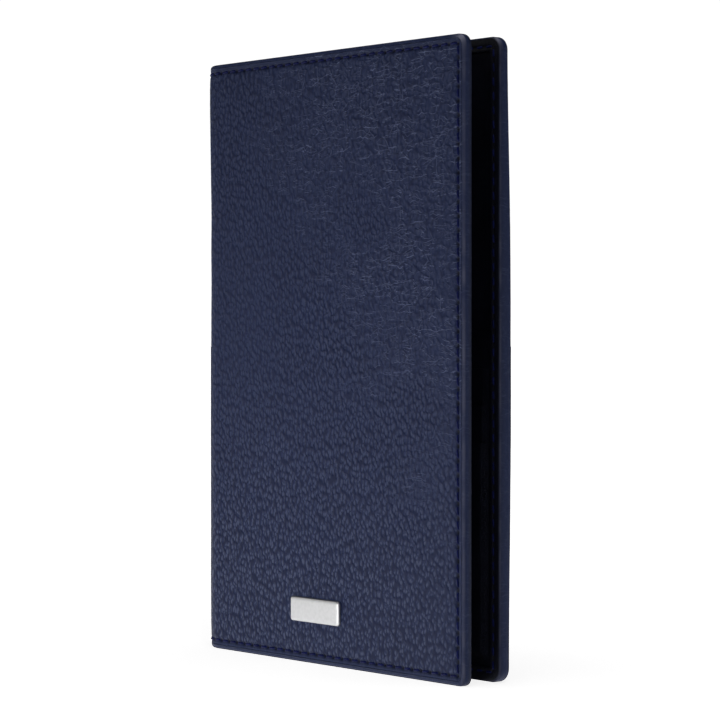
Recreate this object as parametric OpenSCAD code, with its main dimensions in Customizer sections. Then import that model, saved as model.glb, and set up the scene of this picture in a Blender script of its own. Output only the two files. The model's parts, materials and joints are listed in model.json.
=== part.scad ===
// Bifold document cover in grained leather, standing on its bottom edges with the spine at -X.
// Two stiffened covers fold about a soft rounded spine. The front cover carries a metal plate,
// the back cover carries a stack of card slots. Millimetres, +Z up, outer front face towards -Y.

/* [Cover] */
// Height from the bottom edge to the top edge
cover_h = 145; // [130:1:165]
// Width from the back of the spine to the free edges
cover_w = 100; // [97:1:115]
// Clear space between the turned edges of the two covers
gap = 8.2; // [7:0.1:12]
// Radius of the corners at the free edges
corner_r = 3.1; // [2.5:0.1:5]
// Bevel standing in for the soft rounding of an outer edge
edge_bevel = 0.6; // [0.2:0.1:0.7]
// Slit between the spine leather and the cover leather, one sheet in life
fold_slit = 0.3; // [0.2:0.05:0.5]

/* [Outer leather] */
// Thickness of the grained outer leather
leather_t = 0.8; // [0.7:0.05:1]
// Width of the edge turned over to the inside
lip_w = 3.2; // [3:0.1:4]
// Thickness of the turned edge on the front cover and the spine, pared thin
front_lip_t = 0.4; // [0.3:0.05:0.6]
// Thickness of the turned edge on the back cover
back_lip_t = 0.6; // [0.4:0.05:0.8]

/* [Hidden layers] */
// Padding under the front leather
front_pad_t = 0.25; // [0.2:0.05:0.6]
// Stiffener board in the front cover
front_board_t = 0.35; // [0.3:0.05:0.8]
// Padding under the back leather
back_pad_t = 0.5; // [0.3:0.05:0.8]
// Stiffener board in the back cover
back_board_t = 0.6; // [0.3:0.05:0.9]
// Distance of the boards from the outer edges
board_inset = 3.6; // [3.3:0.1:6]
// Lining of the front cover
front_lining_t = 0.2; // [0.2:0.05:0.5]
// Lining of the back cover
back_lining_t = 0.3; // [0.2:0.05:0.5]
// Fibre strip that stiffens the spine
spine_strip_t = 0.4; // [0.2:0.05:0.5]
// Lining of the spine
spine_lining_t = 0.4; // [0.2:0.05:0.5]

/* [Pockets] */
// Leather of the two full-height pocket panels
panel_t = 0.4; // [0.3:0.05:0.5]
// Visible hem of the back pocket panel, measured from the outer edge
hem_w = 5.3; // [4.5:0.1:7]
// Height of the highest card slot mouth
top_mouth_z = 78.9; // [70:0.1:90]
// Step from one card slot mouth to the next
slot_step = 8.4; // [7:0.1:9.5]
// Depth of one card slot
slot_depth = 48.6; // [46:0.1:50]
// Height of slot leather hidden behind the next slot
slot_overlap = 3; // [2:0.5:5]
// Rise from one layer of the slot stack to the next
slot_level = 0.4; // [0.4:0.05:0.5]
// Thickness of the slot leather
slot_t = 0.35; // [0.3:0.01:0.35]
// Thickness of the textile tongues below the slot leather
tongue_t = 0.15; // [0.1:0.01:0.2]
// Distance of the raised slot stack from the free edge
stack_inset = 5; // [4.6:0.1:6]
// Height of the raised slot stack's lower edge
stack_foot_z = 5.7; // [5:0.1:7]

/* [Stitching] */
// Length from one needle hole to the next
stitch_pitch = 3.19; // [3:0.01:3.6]
// Visible length of one stitch
stitch_len = 2.6; // [2:0.1:2.7]
// Distance of the stitch rows from the outer edges
stitch_in = 2.2; // [2:0.1:2.4]
// Width of the thread
thread_w = 0.5; // [0.4:0.05:0.6]
// Width of the channel the stitches lie in
channel_w = 0.7; // [0.65:0.05:0.8]
// Depth of the channel in the outer face
channel_d = 0.4; // [0.3:0.05:0.45]
// Depth of the channel in the turned edge
lip_channel_d = 0.2; // [0.15:0.05:0.25]

/* [Metal plate] */
// Width of the plain plate
plate_w = 18.4; // [12:0.1:24]
// Height of the plate
plate_h = 5.9; // [4.5:0.1:8]
// Thickness of the plate
plate_t = 0.8; // [0.6:0.05:1]
// Position of the plate's middle across the cover
plate_x = -2.7; // [-10:0.1:10]
// Height of the plate's middle
plate_z = 12.7; // [11:0.1:30]
// Distance of each prong from the plate's middle
prong_x = 5.5; // [3.5:0.1:6]
// Radius of the prongs
prong_r = 0.4; // [0.35:0.05:0.5]
// Radius of the clinch washers
washer_r = 1.6; // [1.4:0.1:1.8]
// Thickness of the clinch washers
washer_t = 0.2; // [0.15:0.05:0.25]

/* [Hidden] */
$fn = 32;
half_w = cover_w / 2;
slot_count = 4;
front_t = leather_t + front_pad_t + front_board_t + front_lining_t + panel_t + front_lip_t;
back_base_d = leather_t + back_pad_t + back_board_t + back_lining_t + panel_t;
back_t = back_base_d + slot_level + back_lip_t;
spine_r = (front_t + gap + back_t) / 2;
spine_t = leather_t + spine_strip_t + spine_lining_t + front_lip_t;
spine_x = -half_w + spine_r;
start_x = spine_x + fold_slit;
centre_y = plate_t / 2;
row_v = cover_h - 2 * stitch_in;
count_v = round(row_v / stitch_pitch);
row_h = half_w - stitch_in - start_x;
count_h = round(row_h / stitch_pitch);
count_arc = round(spine_r * PI / stitch_pitch);
clear = 0.1;
hole_clear = 0.05;
press_fit = 0.02;
thin = 0.02;
strip_lap = 0.05;
far = 1;
min_corner_r = 0.4;
bevel_step_d = 0.35;
bevel_step_w = 0.3;
lip_bevel = 0.6;
thread_shoulder = 0.6;
side_stitch_in = 0.7;
side_stitch_shrink = 0.9;
stitches_per_strip = 3;
plate_corner_r = 0.7;
plate_rim = 0.35;
tongue_margin = 1.3;
spine_margin = 0.3;
board_start = 1.5;
pocket_x = start_x + spine_margin;
stack_x = half_w - stack_inset;
wall_inset = leather_t + clear;
prong_hole_r = prong_r + hole_clear;
panel_level = back_base_d + slot_count * slot_level;
panel_mouth_z = top_mouth_z - (slot_count - 1) * slot_step;
spine_facets = 96;

// The covers are drawn by depth: y is the distance inwards from the outer face.
module in_front_cover() {
    translate([0, centre_y - spine_r, 0]) children();
}

module in_back_cover() {
    translate([0, centre_y + spine_r, 0]) mirror([0, 1, 0]) children();
}

module in_spine() {
    translate([spine_x, centre_y, 0]) rotate([0, 0, 90]) children();
}

// Outline in width and height, square at the spine side, rounded at the two free corners.
module outline(inset, first_x) {
    r = max(corner_r - inset, min_corner_r);
    last_x = half_w - inset;
    last_z = cover_h - inset;
    translate([first_x, inset + r]) square([last_x - first_x, last_z - inset - 2 * r]);
    translate([first_x, inset]) square([last_x - r - first_x, last_z - inset]);
    translate([last_x - r, inset + r]) circle(r);
    translate([last_x - r, last_z - r]) circle(r);
}

module sheet(depth, t, inset, first_x) {
    translate([0, depth + t, 0]) rotate([90, 0, 0]) linear_extrude(t) outline(inset, first_x);
}

module box(x, depth, z) {
    translate([x[0], depth[0], z[0]]) cube([x[1] - x[0], depth[1] - depth[0], z[1] - z[0]]);
}

// Channels along the two long rows and the free edge row.
module channels(depth) {
    side_x = half_w - stitch_in;
    half = channel_w / 2;
    for (z = [stitch_in, cover_h - stitch_in])
        box([start_x - far, side_x + half], depth, [z - half, z + half]);
    box([side_x - half, side_x + half], depth, [stitch_in, cover_h - stitch_in]);
}

// Outer leather with its three free edges turned over to the inside.
module turned_leather(total, lip) {
    difference() {
        hull() {
            sheet(0, thin, edge_bevel, start_x);
            sheet(edge_bevel * bevel_step_d, thin, edge_bevel * bevel_step_w, start_x);
            sheet(edge_bevel, total - edge_bevel * (1 + lip_bevel), 0, start_x);
            sheet(total - thin, thin, edge_bevel * lip_bevel, start_x);
        }
        sheet(leather_t, total - leather_t - lip, leather_t, start_x - far);
        sheet(total - lip, lip + far, lip_w, start_x - far);
        channels([-far, channel_d]);
        channels([total - lip_channel_d, total + far]);
    }
}

// One straight stitch along +X, standing on depth 0 and reaching towards -Y.
module stitch(t) {
    w = thread_w / 2;
    side_t = t * thread_shoulder;
    top_w = w * thread_shoulder;
    translate([-stitch_len / 2, 0, 0]) rotate([90, 0, 90]) linear_extrude(stitch_len)
        polygon([[0, -w], [0, w], [-side_t, w], [-t, top_w], [-t, -top_w], [-side_t, -w]]);
}

module perimeter_stitches(t) {
    for (i = [0 : count_h - 1], z = [stitch_in, cover_h - stitch_in])
        translate([start_x + (i + 0.5) * row_h / count_h, 0, z]) stitch(t);
    for (i = [0 : count_v - 1])
        translate([half_w - stitch_in, 0, stitch_in + (i + 0.5) * row_v / count_v])
            rotate([0, 90, 0]) stitch(t);
}

// Stitches of both sides: sunk in the outer face, and in the turned edge.
module cover_stitches(total) {
    translate([0, channel_d, 0]) perimeter_stitches(channel_d);
    translate([0, total - lip_channel_d, 0]) mirror([0, 1, 0]) perimeter_stitches(lip_channel_d);
}

module prong_places() {
    for (side = [-1, 1])
        translate([plate_x + side * prong_x, 0, plate_z]) rotate([-90, 0, 0]) children();
}

module arc_ring(r1, r2, z1, z2) {
    rotate_extrude(angle = 180, $fn = spine_facets) translate([r1, z1]) square([r2 - r1, z2 - z1]);
}

// ---------------------------------------------------------------- spine

module spine_outer_leather() color([0.15, 0.18, 0.27]) in_spine() {
    r = spine_r;
    h = cover_h;
    b = edge_bevel;
    s1 = stitch_in - channel_w / 2;
    s2 = stitch_in + channel_w / 2;
    rc = r - channel_d;
    ri = r - spine_t;
    rl = ri + front_lip_t;
    rg = ri + lip_channel_d;
    rw = r - leather_t;
    rotate_extrude(angle = 180, $fn = spine_facets) polygon([
        [r - b, 0], [r, b],
        [r, s1], [rc, s1], [rc, s2], [r, s2],
        [r, h - s2], [rc, h - s2], [rc, h - s1], [r, h - s1],
        [r, h - b], [r - b, h],
        [ri, h], [ri, h - s1], [rg, h - s1], [rg, h - s2], [ri, h - s2],
        [ri, h - lip_w], [rl, h - lip_w], [rl, h - leather_t], [rw, h - leather_t],
        [rw, leather_t], [rl, leather_t], [rl, lip_w], [ri, lip_w],
        [ri, s2], [rg, s2], [rg, s1], [ri, s1], [ri, 0]
    ]);
}

module spine_reinforcement() color([0.75, 0.72, 0.65]) in_spine() {
    r = spine_r - leather_t;
    arc_ring(r - spine_strip_t, r, leather_t, cover_h - leather_t);
}

module spine_lining() color([0.05, 0.05, 0.08]) in_spine() {
    r = spine_r - leather_t - spine_strip_t;
    arc_ring(r - spine_lining_t, r, leather_t, cover_h - leather_t);
}

module spine_stitches() color([0.05, 0.06, 0.2]) in_spine() {
    step = 180 / count_arc;
    span = stitch_len / spine_r * 180 / PI;
    for (i = [0 : count_arc - 1], z = [stitch_in, cover_h - stitch_in])
        rotate([0, 0, (i + 0.5) * step - span / 2]) {
            rotate_extrude(angle = span, $fn = spine_facets)
                translate([spine_r - channel_d, z - thread_w / 2]) square([channel_d, thread_w]);
            rotate_extrude(angle = span, $fn = spine_facets)
                translate([spine_r - spine_t, z - thread_w / 2]) square([lip_channel_d, thread_w]);
        }
}

// ---------------------------------------------------------------- front cover

module front_outer_leather() color([0.15, 0.18, 0.27]) in_front_cover() difference() {
    turned_leather(front_t, front_lip_t);
    prong_places() translate([0, 0, -far]) cylinder(r = prong_hole_r, h = leather_t + 2 * far);
}

module front_padding() color([0.55, 0.55, 0.58]) in_front_cover() difference() {
    sheet(leather_t, front_pad_t, wall_inset, start_x);
    prong_places() cylinder(r = prong_hole_r, h = leather_t + far);
}

module front_board() color([0.72, 0.66, 0.55]) in_front_cover() {
    d = leather_t + front_pad_t;
    difference() {
        sheet(d, front_board_t, board_inset, start_x + board_start);
        prong_places() cylinder(r = prong_hole_r, h = d + far);
        prong_places() translate([0, 0, d + front_board_t - washer_t])
            cylinder(r = washer_r + clear, h = far);
    }
}

module front_lining() color([0.05, 0.05, 0.08]) in_front_cover()
    sheet(leather_t + front_pad_t + front_board_t, front_lining_t, wall_inset, start_x);

module front_pocket_panel() color([0.07, 0.07, 0.11]) in_front_cover()
    sheet(front_t - front_lip_t - panel_t, panel_t, wall_inset, pocket_x);

module front_stitches() color([0.05, 0.06, 0.2]) in_front_cover() cover_stitches(front_t);

module plate_slab(depth, t, inset) {
    w = plate_w - 2 * inset;
    h = plate_h - 2 * inset;
    r = plate_corner_r - inset;
    translate([plate_x - w / 2, depth + t, plate_z - h / 2]) rotate([90, 0, 0]) linear_extrude(t) {
        translate([r, 0]) square([w - 2 * r, h]);
        translate([0, r]) square([w, h - 2 * r]);
        for (x = [r, w - r], z = [r, h - r]) translate([x, z]) circle(r);
    }
}

// Plain polished plate with a bevelled rim and two round prongs behind it.
module badge_plate() color([0.8, 0.8, 0.82]) in_front_cover() {
    hull() {
        plate_slab(-plate_t, thin, plate_rim);
        plate_slab(-plate_t + plate_rim, plate_t - plate_rim, 0);
    }
    prong_places() translate([0, 0, -clear])
        cylinder(r = prong_r, h = leather_t + front_pad_t + front_board_t + clear);
}

module badge_washers() color([0.7, 0.7, 0.72]) in_front_cover() {
    d = leather_t + front_pad_t + front_board_t - washer_t;
    prong_places() translate([0, 0, d]) difference() {
        cylinder(r = washer_r, h = washer_t);
        translate([0, 0, -far]) cylinder(r = prong_r + press_fit, h = 3 * far);
    }
}

// ---------------------------------------------------------------- back cover

module back_outer_leather() color([0.15, 0.18, 0.27]) in_back_cover()
    turned_leather(back_t, back_lip_t);

module back_padding() color([0.55, 0.55, 0.58]) in_back_cover()
    sheet(leather_t, back_pad_t, wall_inset, start_x);

module back_board() color([0.72, 0.66, 0.55]) in_back_cover()
    sheet(leather_t + back_pad_t, back_board_t, board_inset, start_x + board_start);

module back_lining() color([0.05, 0.05, 0.08]) in_back_cover()
    sheet(leather_t + back_pad_t + back_board_t, back_lining_t, wall_inset, start_x);

// Full-height panel, hemmed along the top and beside the bare part above the card slots.
module back_pocket_panel() color([0.07, 0.07, 0.11]) in_back_cover() {
    sheet(back_base_d - panel_t, panel_t, wall_inset, pocket_x);
    intersection() {
        sheet(back_base_d - panel_t, panel_t + slot_level, wall_inset, pocket_x);
        union() {
            box([pocket_x, half_w], [0, back_t], [cover_h - hem_w, cover_h]);
            box([stack_x, half_w], [0, back_t], [top_mouth_z + clear, cover_h]);
        }
    }
}

// Slot leather number i from the top: raised plate, riser at its side, margin under the turned edge.
module slot_leather(i, low_z) {
    mouth = top_mouth_z - i * slot_step;
    level = back_base_d + (i + 1) * slot_level;
    band = mouth - slot_step + strip_lap;
    foot = max(low_z, band);
    box([pocket_x, stack_x], [level - slot_t, level], [foot, mouth]);
    box([stack_x - slot_t, stack_x], [back_base_d, level], [foot, mouth]);
    intersection() {
        sheet(back_base_d, slot_t, wall_inset, pocket_x);
        box([stack_x - slot_t, half_w], [back_base_d, level], [foot, mouth]);
    }
    if (low_z < band)
        box([pocket_x, stack_x - slot_t - clear], [level - slot_t, level], [low_z, band]);
}

module slot_strip(i) color([0.07, 0.07, 0.11]) in_back_cover()
    slot_leather(i, top_mouth_z - (i + 1) * slot_step - slot_overlap);

module slot_tongue(i) color([0.1, 0.1, 0.13]) in_back_cover() {
    mouth = top_mouth_z - i * slot_step;
    level = back_base_d + (i + 1) * slot_level;
    box([pocket_x + tongue_margin, stack_x - slot_t - clear], [level - tongue_t, level],
        [mouth - slot_depth, mouth - slot_step - slot_overlap]);
}

module slot_strip_top() slot_strip(0);

module slot_strip_middle() slot_strip(1);

module slot_strip_low() slot_strip(2);

module slot_tongue_top() slot_tongue(0);

module slot_tongue_middle() slot_tongue(1);

module slot_tongue_low() slot_tongue(2);

// Lowest slot: one large panel whose foot and side go under the turned edge.
module slot_front_panel() color([0.07, 0.07, 0.11]) in_back_cover() {
    mouth = panel_mouth_z;
    level = panel_level;
    box([pocket_x, stack_x], [level - slot_t, level], [stack_foot_z, mouth]);
    box([stack_x - slot_t, stack_x], [back_base_d, level], [stack_foot_z, mouth]);
    box([pocket_x, stack_x], [back_base_d, level], [stack_foot_z, stack_foot_z + slot_t]);
    intersection() {
        sheet(back_base_d, slot_t, wall_inset, pocket_x);
        union() {
            box([pocket_x, half_w], [back_base_d, level], [0, stack_foot_z + slot_t]);
            box([stack_x - slot_t, half_w], [back_base_d, level], [0, mouth]);
        }
    }
}

// Row that closes the slots at the spine side: a few stitches on each strip, more on the panel.
module side_stitch(level, z, shrink) {
    translate([pocket_x + side_stitch_in, level, z])
        rotate([0, 90, 0]) mirror([0, 1, 0]) scale([shrink, 1, 1]) stitch(lip_channel_d);
}

module slot_side_stitches() color([0.05, 0.06, 0.2]) in_back_cover() {
    run = panel_mouth_z - stack_foot_z;
    panel_count = round(run / stitch_pitch);
    strip_pitch = slot_step / stitches_per_strip;
    for (i = [0 : slot_count - 2], k = [0 : stitches_per_strip - 1])
        side_stitch(
            back_base_d + (i + 1) * slot_level,
            top_mouth_z - i * slot_step - (k + 0.5) * strip_pitch,
            side_stitch_shrink
        );
    for (k = [0 : panel_count - 1])
        side_stitch(panel_level, stack_foot_z + (k + 0.5) * run / panel_count, 1);
}

module back_stitches() color([0.05, 0.06, 0.2]) in_back_cover() cover_stitches(back_t);

// ---------------------------------------------------------------- dispatch

spine_outer_leather();
spine_reinforcement();
spine_lining();
spine_stitches();
front_outer_leather();
front_padding();
front_board();
front_lining();
front_pocket_panel();
front_stitches();
badge_plate();
badge_washers();
back_outer_leather();
back_padding();
back_board();
back_lining();
back_pocket_panel();
slot_strip_top();
slot_strip_middle();
slot_strip_low();
slot_tongue_top();
slot_tongue_middle();
slot_tongue_low();
slot_front_panel();
slot_side_stitches();
back_stitches();
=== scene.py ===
"""Look model of a bifold leather document cover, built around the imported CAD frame.

Leather, linings and panels are laid out flat first: s runs along the leather from the middle
of the spine, z runs up and d is the depth below the outer face, all in millimetres. They are
then wrapped round the spine.
"""

import json
from math import cos, pi, radians, sin

import bpy
import numpy as np
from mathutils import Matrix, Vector

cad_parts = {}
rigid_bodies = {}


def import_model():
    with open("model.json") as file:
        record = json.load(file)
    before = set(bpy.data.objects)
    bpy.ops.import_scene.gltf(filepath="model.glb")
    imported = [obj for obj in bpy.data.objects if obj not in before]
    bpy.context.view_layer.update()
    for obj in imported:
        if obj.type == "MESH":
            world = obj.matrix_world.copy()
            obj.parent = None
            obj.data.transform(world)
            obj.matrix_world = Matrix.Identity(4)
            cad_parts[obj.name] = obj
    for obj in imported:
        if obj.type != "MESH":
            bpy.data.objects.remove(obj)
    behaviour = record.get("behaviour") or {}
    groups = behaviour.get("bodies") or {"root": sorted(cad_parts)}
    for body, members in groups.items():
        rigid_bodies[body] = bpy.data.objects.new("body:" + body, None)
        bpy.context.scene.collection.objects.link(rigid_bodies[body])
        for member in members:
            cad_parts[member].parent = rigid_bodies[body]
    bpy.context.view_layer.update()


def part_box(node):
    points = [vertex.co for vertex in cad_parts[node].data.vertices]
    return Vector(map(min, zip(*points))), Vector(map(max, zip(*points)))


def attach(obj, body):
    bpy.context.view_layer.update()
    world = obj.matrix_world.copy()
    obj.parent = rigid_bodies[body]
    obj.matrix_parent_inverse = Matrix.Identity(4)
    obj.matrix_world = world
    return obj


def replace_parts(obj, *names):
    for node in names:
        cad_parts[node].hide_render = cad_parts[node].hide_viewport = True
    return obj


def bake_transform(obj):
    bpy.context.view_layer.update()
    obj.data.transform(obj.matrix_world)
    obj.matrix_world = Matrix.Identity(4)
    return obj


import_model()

MM = 0.001


def node_box(name):
    """A CAD node's lowest and highest corner in millimetres."""
    low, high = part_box(name)
    return np.array(low) / MM, np.array(high) / MM


FRONT_LOW, FRONT_HIGH = node_box("front_outer_leather")
BACK_LOW, BACK_HIGH = node_box("back_outer_leather")
SPINE_LOW, SPINE_HIGH = node_box("spine_outer_leather")
PLATE_LOW, PLATE_HIGH = node_box("badge_plate")
WASHER_LOW, WASHER_HIGH = node_box("badge_washers")
SLOT_NODES = ["slot_strip_top", "slot_strip_middle", "slot_strip_low", "slot_front_panel"]

# The cover, read from the frame
HEIGHT = FRONT_HIGH[2] - FRONT_LOW[2]
SPINE_R = SPINE_HIGH[0] - SPINE_LOW[0]
SPINE_X = SPINE_HIGH[0]
CENTRE_Y = (SPINE_LOW[1] + SPINE_HIGH[1]) / 2
ARC_LEN = pi / 2 * SPINE_R
LAST_S = ARC_LEN + FRONT_HIGH[0] - SPINE_X

# The card slots, read from the frame, from the top one down
MOUTHS = [node_box(name)[1][2] for name in SLOT_NODES]
LEVELS = [BACK_HIGH[1] - node_box(name)[0][1] for name in SLOT_NODES]
SLOT_STEP = MOUTHS[0] - MOUTHS[1]
SLOT_LEVEL = LEVELS[1] - LEVELS[0]
BASE_DEPTH = LEVELS[0] - SLOT_LEVEL

# Sizes that the CAD has as well, but not as the box of a node
CORNER_R = 3.1
LIP_W = 3.2
STITCH_IN = 2.2
STITCH_PITCH = 3.19
SPINE_DEPTH = 2.0
SPINE_LAYER = 0.4
HEM_W = 5.3
SLOT_OVERLAP = 3.0
STACK_FOOT = 5.7
STACK_S = ARC_LEN + 45.0 - SPINE_X
WASHER_D = 3.2

# Edges of the sheets inside, which lie clear of the turned edge
WALL_INSET = 0.8
SHEET_IN = WALL_INSET + 0.1
SHEET_LAST = LAST_S - SHEET_IN
SHEET_Z = (SHEET_IN, HEIGHT - SHEET_IN)
POCKET_S = node_box("front_pocket_panel")[0][0] - SPINE_X + ARC_LEN
PANEL_S = (POCKET_S, SHEET_LAST)

# The look alone: where the edge starts to turn, the step between grid lines, the pressed line
# along the stitches, the needle holes, the thread, the slot leather and how far the plate lies
# off the outer leather
RIM_INSET = 1.0
FINE_STEP = 0.44
CHANNEL_W = 0.34
HOLE_R = 0.5
HOLE_REACH = 0.8
THREAD_R = 0.27
SLOT_THICK = 0.33
PLATE_OFF = 0.08


# ---------- small maths


def smooth(low, high, x):
    """0 before low, 1 after high, and a smooth step between them."""
    t = np.clip((x - low) / (high - low), 0, 1)
    return t * t * (3 - 2 * t)


def hump(x, centre, width):
    """1 at the centre, falling away to both sides like a bell."""
    return np.exp(-(((x - centre) / width) ** 2))


def noise(x, y, seed):
    """Smooth value noise from -1 to 1, one lattice step per unit."""
    side = 256
    lattice = np.random.default_rng(seed).uniform(-1, 1, (side, side))
    ix, iy = np.floor(x).astype(int), np.floor(y).astype(int)
    fx, fy = x - ix, y - iy
    fx, fy = (f * f * f * (f * (6 * f - 15) + 10) for f in (fx, fy))

    def at(dx, dy):
        return lattice[(ix + dx) % side, (iy + dy) % side]

    low = at(0, 0) * (1 - fx) + at(1, 0) * fx
    high = at(0, 1) * (1 - fx) + at(1, 1) * fx
    return low * (1 - fy) + high * fy


def cells(x, y, seed):
    """Distance to the edge between scattered cells, in lattice steps."""
    side = 128
    jitter = np.random.default_rng(seed).uniform(0.1, 0.9, (side, side, 2))
    ix, iy = np.floor(x).astype(int), np.floor(y).astype(int)
    best = np.full(np.shape(x), np.inf)
    second = best.copy()
    for dx in (-1, 0, 1):
        for dy in (-1, 0, 1):
            spot = jitter[(ix + dx) % side, (iy + dy) % side]
            away = np.hypot(ix + dx + spot[..., 0] - x, iy + dy + spot[..., 1] - y)
            second = np.minimum(second, np.maximum(best, away))
            best = np.minimum(best, away)
    return second - best


# ---------- the two halves


class Half:
    """One cover with its half of the spine; powers make the lower and upper corner squarer."""

    def __init__(self, name, side, low, high, crown, bow, powers):
        self.name = name
        self.side = side
        self.body = f"{name}_cover"
        self.total = high[1] - low[1]
        self.crown = crown
        self.bow = bow
        self.powers = powers

    def edge_distance(self, s, z):
        """Distance from the leather's outline, which has rounded free corners."""
        from_side = LAST_S - s
        from_end = np.minimum(z, HEIGHT - z)
        power = np.where(z < HEIGHT / 2, *self.powers)
        across, along = (np.clip(CORNER_R - d, 0, None) for d in (from_side, from_end))
        rounded = CORNER_R - (across**power + along**power) ** (1 / power)
        corner = (across > 0) & (along > 0)
        return np.where(corner, rounded, np.minimum(from_side, from_end))

    def depth_at(self, s):
        """Full thickness of the cover's wall, thinner round the spine."""
        full = smooth(ARC_LEN - 4.0, ARC_LEN + 0.6, s)
        return SPINE_DEPTH + (self.total - SPINE_DEPTH) * full

    def bulge(self, s, z):
        """How far the padded cover stands proud of flat, in its wide, soft forms."""
        across = s * self.side
        edge = self.edge_distance(s, z)
        inner = smooth(2.0, 22.0, edge) * smooth(ARC_LEN - 2, ARC_LEN + 20, s)
        low_end, middle, high_end = self.bow
        ends = low_end * smooth(62, 0, z) + high_end * smooth(65, 0, HEIGHT - z) ** 1.5
        mid = middle * smooth(0.0, 60.0, z) * smooth(0.0, 60.0, HEIGHT - z)
        bowed = (ends + mid) * smooth(ARC_LEN, LAST_S, s)
        round_spine = 1 - smooth(2, ARC_LEN, s)
        flare = 0.62 * smooth(HEIGHT - 42, HEIGHT - 4, z) + 0.12 * smooth(30, 5, z) - 0.14
        waves = 0.09 * noise(across / 21 + 40, z / 26 + 10, 5)
        waves = waves + 0.04 * noise(across / 7 + 60, z / 9 + 30, 6)
        soft = waves * smooth(0.5, 5.0, edge)
        return self.crown * inner + bowed + flare * round_spine + soft

    def place(self, s, z, d):
        """Points of the wrapped leather in metres; d is measured from the bulged outer face."""
        s, z, d = np.broadcast_arrays(np.asarray(s, float), z, d)
        share = np.clip(1 - d / self.total, 0, 1)
        r = SPINE_R - d + self.bulge(s, z) * share
        flat = s - ARC_LEN
        phi = np.minimum(s, ARC_LEN) / SPINE_R
        x = np.where(flat >= 0, SPINE_X + flat, SPINE_X - r * np.cos(phi))
        y = CENTRE_Y + self.side * r * np.sin(phi)
        return np.stack([x, y, z], -1) * MM

    def blend(self, piece):
        """Bakes the piece's placing into its mesh."""
        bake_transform(piece)


FRONT = Half("front", -1, FRONT_LOW, FRONT_HIGH, 0.22, (0.0, 0.0, 0.0), (3.2, 2.3))
BACK = Half("back", 1, BACK_LOW, BACK_HIGH, 0.15, (-0.45, 0.12, -0.95), (2.0, 2.0))


# ---------- meshes


def add_piece(name, points, faces, uv, material, layers=()):
    """A mesh object from point, face and texture arrays; layers are named point values."""
    mesh = bpy.data.meshes.new(name)
    flat = np.concatenate([np.asarray(f).reshape(-1) for f in faces])
    sizes = np.concatenate([np.full(len(f), np.shape(f)[1]) for f in faces])
    mesh.vertices.add(len(points))
    mesh.vertices.foreach_set("co", np.asarray(points, np.float32).reshape(-1))
    mesh.loops.add(len(flat))
    mesh.loops.foreach_set("vertex_index", flat.astype(np.int32))
    mesh.polygons.add(len(sizes))
    starts = np.concatenate([[0], np.cumsum(sizes)[:-1]])
    mesh.polygons.foreach_set("loop_start", starts.astype(np.int32))
    mesh.update(calc_edges=True)
    mesh.validate()
    mesh.shade_smooth()
    grain = mesh.uv_layers.new(name="grain")
    grain.data.foreach_set("uv", np.asarray(uv, np.float32)[flat].reshape(-1))
    for key, values in layers:
        layer = mesh.attributes.new(key, "FLOAT", "POINT")
        layer.data.foreach_set("value", np.asarray(values, np.float32).reshape(-1))
    mesh.materials.append(material)
    piece = bpy.data.objects.new(name, mesh)
    bpy.context.scene.collection.objects.link(piece)
    return piece


def grid_quads(rows, columns, flip):
    """Quads of a grid whose points are numbered row by row."""
    at = np.arange(rows * columns).reshape(rows, columns)
    quads = np.stack([at[:-1, :-1], at[1:, :-1], at[1:, 1:], at[:-1, 1:]], -1).reshape(-1, 4)
    return quads[:, ::-1] if flip else quads


def ring_quads(first, second, flip, closed=False):
    """Quads between two rows of points that run side by side."""
    if closed:
        first, second = np.append(first, first[0]), np.append(second, second[0])
    quads = np.stack([first[:-1], first[1:], second[1:], second[:-1]], -1)
    return quads[:, ::-1] if flip else quads


def border(rows, columns):
    """Point numbers round a grid: first column, last row, last column and first row."""
    at = np.arange(rows * columns).reshape(rows, columns)
    return np.concatenate([at[:-1, 0], at[-1, :-1], at[:0:-1, -1], at[0, :0:-1]])


# ---------- outer leather

# Insets of the grid lines at the sewn edge, and s of those at the middle of the spine
EDGE_INSETS = [3.1, 2.85, 2.65, 2.5, 2.38, 2.28, 2.2, 2.12, 2.02, 1.9, 1.7, 1.45, 1.2, RIM_INSET]
SEAM_LINES = [0.0, 0.03, 0.1, 0.22]

# Broad grain, painted shade in seams and rim, painted shade on the lip, pressed grain, painted edge
# highlight and painted pebble-top highlight
LAYERS = ["broad", "cavity", "ink", "pressed", "worn", "bold"]


def even_lines(first, last, step):
    """Evenly spaced values from first to last, about one step apart."""
    return np.linspace(first, last, max(2, round((last - first) / step) + 1))


def leather_lines():
    """Grid lines along s and along z, close together near the sewn edges."""
    inner = EDGE_INSETS[0] + 0.65
    along_s = even_lines(0.42, LAST_S - inner, FINE_STEP)
    along_z = even_lines(inner, HEIGHT - inner, FINE_STEP)
    insets = np.array(EDGE_INSETS)
    s_lines = np.concatenate([SEAM_LINES, along_s, LAST_S - insets])
    z_lines = np.concatenate([insets[::-1], along_z, HEIGHT - insets])
    return s_lines, z_lines


def round_corners(half, s, z):
    """Moves grid points near a free corner so that the outline is round there."""
    reach = CORNER_R - RIM_INSET
    u = (s - (LAST_S - CORNER_R)) / reach
    low_power, high_power = half.powers
    for way, corner_z, power in ((-1, CORNER_R, low_power), (1, HEIGHT - CORNER_R, high_power)):
        v = way * (z - corner_z) / reach
        inside = (u > 0) & (v > 0)
        a, b = np.where(inside, u, 1.0), np.where(inside, v, 1.0)
        scale = np.maximum(a, b) / (a**power + b**power) ** (1 / power)
        s = np.where(inside, LAST_S - CORNER_R + a * scale * reach, s)
        z = np.where(inside, corner_z + way * b * scale * reach, z)
    return s, z


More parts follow.
